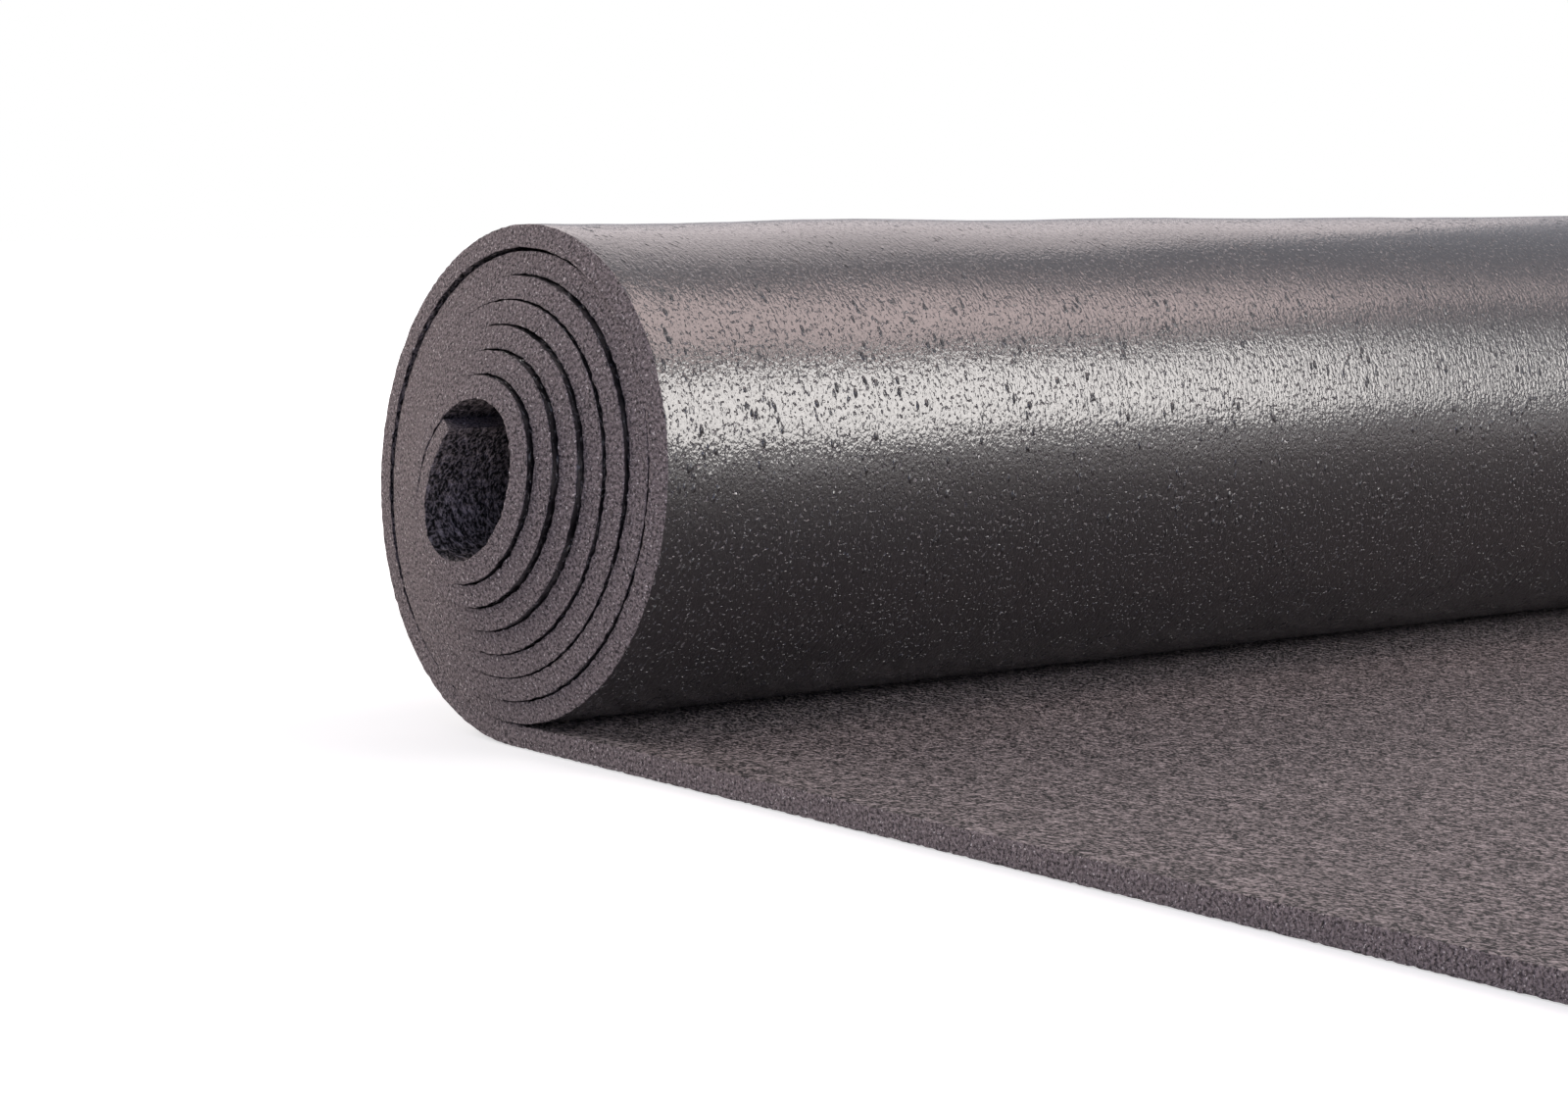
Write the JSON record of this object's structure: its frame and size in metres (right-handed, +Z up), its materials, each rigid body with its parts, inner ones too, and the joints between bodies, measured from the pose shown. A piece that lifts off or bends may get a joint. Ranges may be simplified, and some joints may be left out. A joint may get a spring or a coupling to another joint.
{
  "type": "yoga mat",
  "caption": "Laminated foam yoga mat, rolled up with its textured side inwards, with a flat tail on the floor that lifts and curls.",
  "frame": {"origin": "on the floor, at the middle of the mat's footprint, roll and tail together", "axes": "+X along the roll's axis, away from the end that the inner turns stand out of; the tail runs towards -Y; +Z up"},
  "size_m": [0.6256, 0.4206, 0.1013],
  "materials": {
    "base_foam": "closed-cell foam with a satin skin",
    "scrim": "open woven polyester",
    "top_foam": "matt embossed foam"
  },
  "bodies": {
    "roll": {"roll_base_foam": "base_foam", "roll_scrim": "scrim", "roll_top_foam": "top_foam"},
    "tail_1": {"tail_1_base_foam": "base_foam", "tail_1_scrim": "scrim", "tail_1_top_foam": "top_foam"},
    "tail_2": {"tail_2_base_foam": "base_foam", "tail_2_scrim": "scrim", "tail_2_top_foam": "top_foam"},
    "tail_3": {"tail_3_base_foam": "base_foam", "tail_3_scrim": "scrim", "tail_3_top_foam": "top_foam"},
    "tail_4": {"tail_4_base_foam": "base_foam", "tail_4_scrim": "scrim", "tail_4_top_foam": "top_foam"},
    "tail_5": {"tail_5_base_foam": "base_foam", "tail_5_scrim": "scrim", "tail_5_top_foam": "top_foam"},
    "tail_6": {"tail_6_base_foam": "base_foam", "tail_6_scrim": "scrim", "tail_6_top_foam": "top_foam"},
    "tail_7": {"tail_7_base_foam": "base_foam", "tail_7_scrim": "scrim", "tail_7_top_foam": "top_foam"},
    "tail_8": {"tail_8_base_foam": "base_foam", "tail_8_scrim": "scrim", "tail_8_top_foam": "top_foam"}
  },
  "joints": [
    {"name": "flex_1", "type": "hinge", "parent": "roll", "child": "tail_1", "pos_m": [0, 0.11968, 0.0045], "axis": [-1, 0, 0], "range_deg": [0, 22.5], "stiffness_Nm_per_rad": 0.15},
    {"name": "flex_2", "type": "hinge", "parent": "tail_1", "child": "tail_2", "pos_m": [0, 0.07843, 0.0045], "axis": [-1, 0, 0], "range_deg": [0, 22.5], "stiffness_Nm_per_rad": 0.15},
    {"name": "flex_3", "type": "hinge", "parent": "tail_2", "child": "tail_3", "pos_m": [0, 0.03718, 0.0045], "axis": [-1, 0, 0], "range_deg": [0, 22.5], "stiffness_Nm_per_rad": 0.15},
    {"name": "flex_4", "type": "hinge", "parent": "tail_3", "child": "tail_4", "pos_m": [0, -0.00407, 0.0045], "axis": [-1, 0, 0], "range_deg": [0, 22.5], "stiffness_Nm_per_rad": 0.15},
    {"name": "flex_5", "type": "hinge", "parent": "tail_4", "child": "tail_5", "pos_m": [0, -0.04532, 0.0045], "axis": [-1, 0, 0], "range_deg": [0, 22.5], "stiffness_Nm_per_rad": 0.15},
    {"name": "flex_6", "type": "hinge", "parent": "tail_5", "child": "tail_6", "pos_m": [0, -0.08657, 0.0045], "axis": [-1, 0, 0], "range_deg": [0, 22.5], "stiffness_Nm_per_rad": 0.15},
    {"name": "flex_7", "type": "hinge", "parent": "tail_6", "child": "tail_7", "pos_m": [0, -0.12782, 0.0045], "axis": [-1, 0, 0], "range_deg": [0, 22.5], "stiffness_Nm_per_rad": 0.15},
    {"name": "flex_8", "type": "hinge", "parent": "tail_7", "child": "tail_8", "pos_m": [0, -0.16907, 0.0045], "axis": [-1, 0, 0], "range_deg": [0, 22.5], "stiffness_Nm_per_rad": 0.15}
  ]
}
